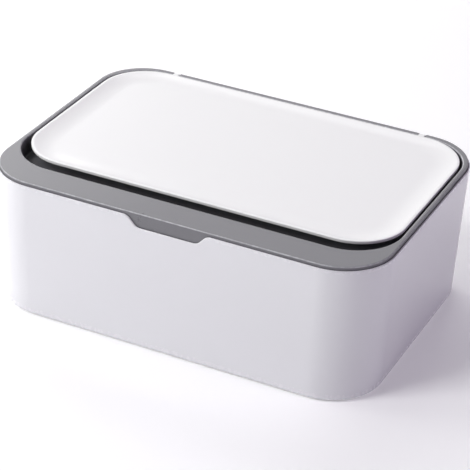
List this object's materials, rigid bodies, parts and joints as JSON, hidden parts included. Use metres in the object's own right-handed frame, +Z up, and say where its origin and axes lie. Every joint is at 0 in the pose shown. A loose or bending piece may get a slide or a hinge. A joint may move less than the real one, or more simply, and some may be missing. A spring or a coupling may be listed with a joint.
{
  "type": "reusable wipes box",
  "caption": "Low rounded tub with a lift-off cover and a flush hinged lid, which keeps wet wipes moist and hands them out through a soft slotted mouth.",
  "frame": {"origin": "on the surface that the box stands on, under the middle of the tub's outline", "axes": "+X along the box's long side to the right seen from the front, +Y from the front with its finger notch to the rear with the hinge, +Z up"},
  "size_m": [0.195, 0.14, 0.0703],
  "materials": {
    "white_plastic": "white moulded plastic, glossy, with faint flow unevenness",
    "grey_plastic": "mid grey moulded plastic, satin, very fine grain",
    "soft_grey_rubber": "soft grey moulded elastomer, matt",
    "milky_silicone": "milky white silicone, satin",
    "foot_rubber": "dark grey rubber, matt",
    "pin_steel": "drawn stainless wire"
  },
  "bodies": {
    "tub": {"tub_shell": "white_plastic", "foot_front_left": "foot_rubber", "foot_front_right": "foot_rubber", "foot_rear_left": "foot_rubber", "foot_rear_right": "foot_rubber"},
    "cover": {"cover_frame": "grey_plastic", "cover_seal": "milky_silicone", "mouth_insert": "soft_grey_rubber", "hinge_pin_left": "pin_steel", "hinge_pin_right": "pin_steel"},
    "lid": {"lid_shell": "white_plastic", "lid_liner": "grey_plastic", "lid_seal": "milky_silicone"}
  },
  "joints": [
    {"name": "cover_lift", "type": "slide", "parent": "tub", "child": "cover", "axis": [0, 0, 1], "range_m": [0, 0.05]},
    {"name": "lid_hinge", "type": "hinge", "parent": "cover", "child": "lid", "pos_m": [0, 0.0677, 0.0688], "axis": [-1, 0, 0], "range_deg": [0, 100]}
  ]
}
